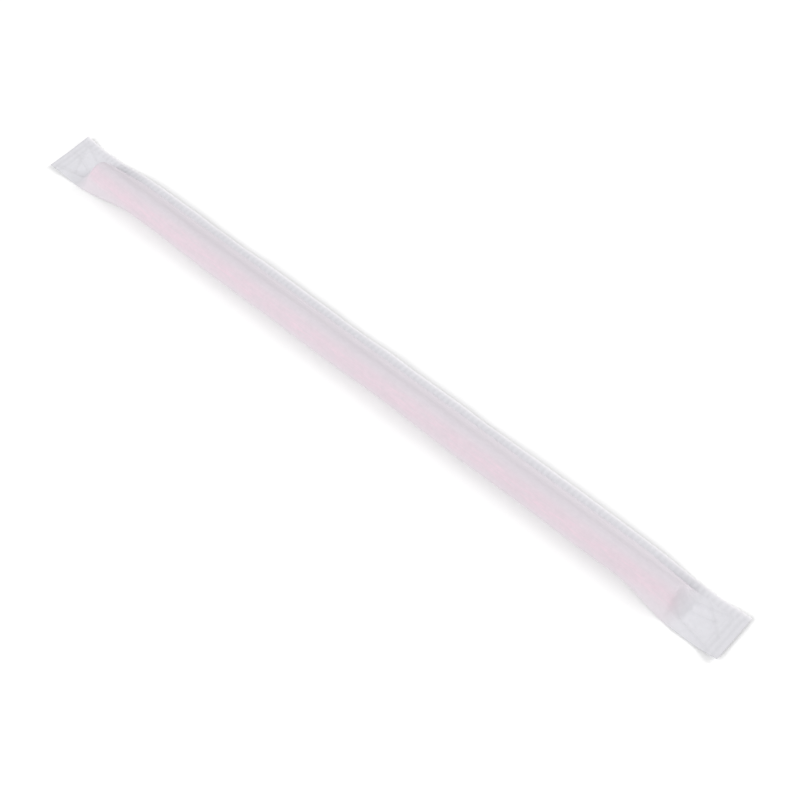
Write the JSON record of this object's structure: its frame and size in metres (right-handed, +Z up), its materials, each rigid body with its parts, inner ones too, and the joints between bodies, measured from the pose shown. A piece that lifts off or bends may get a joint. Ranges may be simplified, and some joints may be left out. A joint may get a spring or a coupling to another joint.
{
  "type": "wrapped drinking straw",
  "caption": "Straight plastic drinking straw sealed in a sleeve of thin white paper, with a crimped seam along one side and flat crimped flaps past both ends.",
  "frame": {"origin": "under the middle of the wrapper, on the surface that it lies on", "axes": "+X along the straw towards the longer flap, +Y towards the crimped seam, +Z up"},
  "size_m": [0.227, 0.014, 0.0061],
  "materials": {
    "wrapping_paper": "matte, thin and slightly see-through",
    "straw_plastic": "semi-gloss"
  },
  "bodies": {
    "root": {"wrapper": "wrapping_paper", "straw": "straw_plastic"}
  },
  "joints": []
}
